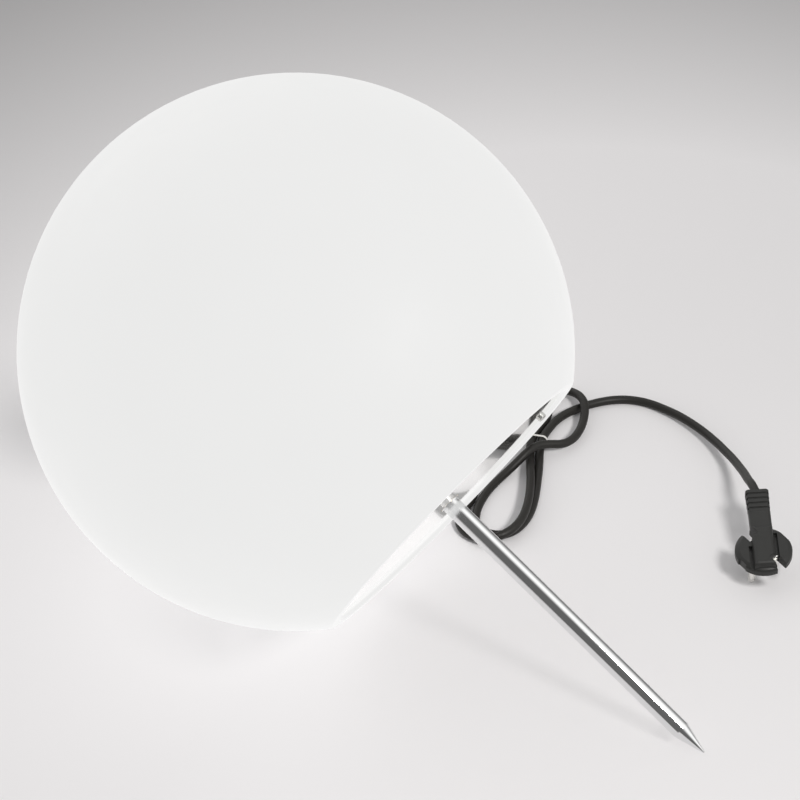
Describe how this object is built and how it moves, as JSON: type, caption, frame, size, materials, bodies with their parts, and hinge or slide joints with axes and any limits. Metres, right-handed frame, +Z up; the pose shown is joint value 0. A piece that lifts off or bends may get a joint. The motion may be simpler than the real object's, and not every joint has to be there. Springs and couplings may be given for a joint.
{
  "type": "garden globe light",
  "caption": "Opal globe light with a chrome ground spike on its flat base plate, lying on its side, and a rubber cord in a tied hank with a plug.",
  "frame": {"origin": "on the floor, under the middle of the globe and spike as they lie", "axes": "+X along the floor from the globe towards the spike's point, +Z up, +Y towards the side where the cord lies"},
  "size_m": [0.4868, 0.4508, 0.35],
  "materials": {
    "globe": "satin opal",
    "plate": "polished",
    "gasket": "matt",
    "steel": "plain",
    "screws": "bright zinc",
    "chrome": "polished",
    "brass": "plain",
    "black_plastic": "fine grain",
    "cable": "matt",
    "tie": "plain",
    "nickel": "bright",
    "holder": "plain",
    "bulb_white": "plain",
    "bulb_diffuser": "opal",
    "board": "white coated",
    "block": "plain",
    "live": "plain",
    "neutral": "plain"
  },
  "bodies": {
    "globe": {"globe_shell": "globe", "base_plate": "plate", "base_gasket": "gasket", "lock_screw": "screws", "spike_insert": "brass", "holder_bracket": "steel", "bracket_screw_a": "screws", "bracket_screw_b": "screws", "holder_nipple": "brass", "holder_nut": "brass", "lampholder_body": "holder", "lampholder_sleeve": "brass", "lampholder_contact": "brass", "bulb_cap": "nickel", "bulb_contact": "brass", "bulb_housing": "bulb_white", "bulb_board": "board", "bulb_dome": "bulb_diffuser", "terminal_block": "block", "terminal_screw_a": "screws", "terminal_screw_b": "screws", "gland_body": "black_plastic", "gland_seal": "gasket", "gland_locknut": "black_plastic", "gland_nut": "black_plastic", "gland_boot": "cable", "inner_cable": "cable", "wire_live": "live", "wire_neutral": "neutral", "cord_lead": "cable", "cord_hank": "cable", "cord_tail": "cable", "cord_tie": "tie", "plug_body": "black_plastic", "plug_relief": "cable", "plug_pin_a": "nickel", "plug_pin_b": "nickel", "plug_earth_clip_a": "nickel", "plug_earth_clip_b": "nickel"},
    "washer": {"spike_washer": "chrome"},
    "spike": {"spike_tube": "chrome", "spike_stud": "steel", "spike_tip": "chrome"}
  },
  "joints": [
    {"name": "spike_out", "type": "slide", "parent": "globe", "child": "washer", "axis": [0.8724, 0, -0.4887], "range_m": [0, 0.016]},
    {"name": "spike_turn", "type": "hinge", "parent": "washer", "child": "spike", "pos_m": [0.05062, 0, 0.10834], "axis": [0.8724, 0, -0.4887], "range_deg": [0, 4608]}
  ],
  "couplings": [
    {"joint": "spike_turn", "follows": "spike_out", "rad_per_m": 5026.5}
  ]
}
